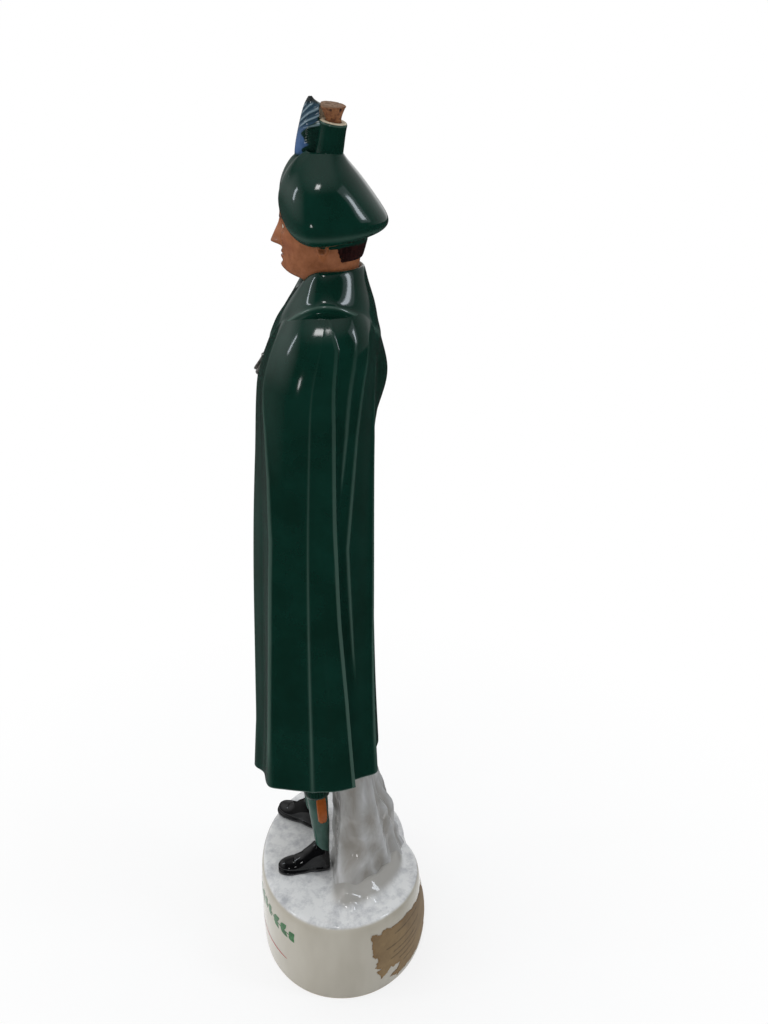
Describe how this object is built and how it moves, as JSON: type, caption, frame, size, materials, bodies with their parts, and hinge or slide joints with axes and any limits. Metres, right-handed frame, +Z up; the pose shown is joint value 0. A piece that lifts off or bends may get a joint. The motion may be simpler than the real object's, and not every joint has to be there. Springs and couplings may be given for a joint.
{
  "type": "figural liquor decanter",
  "caption": "Tall glazed ceramic decanter in the form of a cloaked soldier on an oval plinth, with a corked pouring neck on top of the cap.",
  "frame": {"origin": "on the table, under the middle of the oval plinth", "axes": "+Z up along the figure, the figure faces -Y, its left hand is towards +X"},
  "size_m": [0.1189, 0.0923, 0.432],
  "materials": {
    "white_glaze": "cream white gloss glaze",
    "rock_glaze": "white gloss glaze mottled with grey",
    "green_glaze": "dark green gloss glaze",
    "hose_glaze": "mid green gloss glaze",
    "black_glaze": "black gloss glaze",
    "orange_glaze": "orange gloss glaze",
    "skin_glaze": "brown skin colour under clear glaze",
    "hair_glaze": "dark brown gloss glaze",
    "hackle_glaze": "blue over dark green gloss glaze",
    "silver_lustre": "silver grey lustre",
    "cork": "natural cork",
    "label_paper": "aged tan paper"
  },
  "bodies": {
    "decanter": {"base_plinth": "white_glaze", "rock_outcrop": "rock_glaze", "cloak_body": "green_glaze", "cloak_collar": "green_glaze", "brooch": "silver_lustre", "head": "skin_glaze", "hair": "hair_glaze", "cap": "green_glaze", "cap_band": "green_glaze", "bottle_neck": "green_glaze", "hackle": "hackle_glaze", "paper_label": "label_paper", "left_shoe": "black_glaze", "left_hose": "hose_glaze", "left_hose_cuff": "green_glaze", "left_garter_flash": "orange_glaze", "right_shoe": "black_glaze", "right_hose": "hose_glaze", "right_hose_cuff": "green_glaze", "right_garter_flash": "orange_glaze"},
    "cork": {"cork_stopper": "cork"}
  },
  "joints": [
    {"name": "cork_pull", "type": "slide", "parent": "decanter", "child": "cork", "axis": [0.0871, 0.0174, 0.996], "range_m": [0, 0.04]}
  ]
}
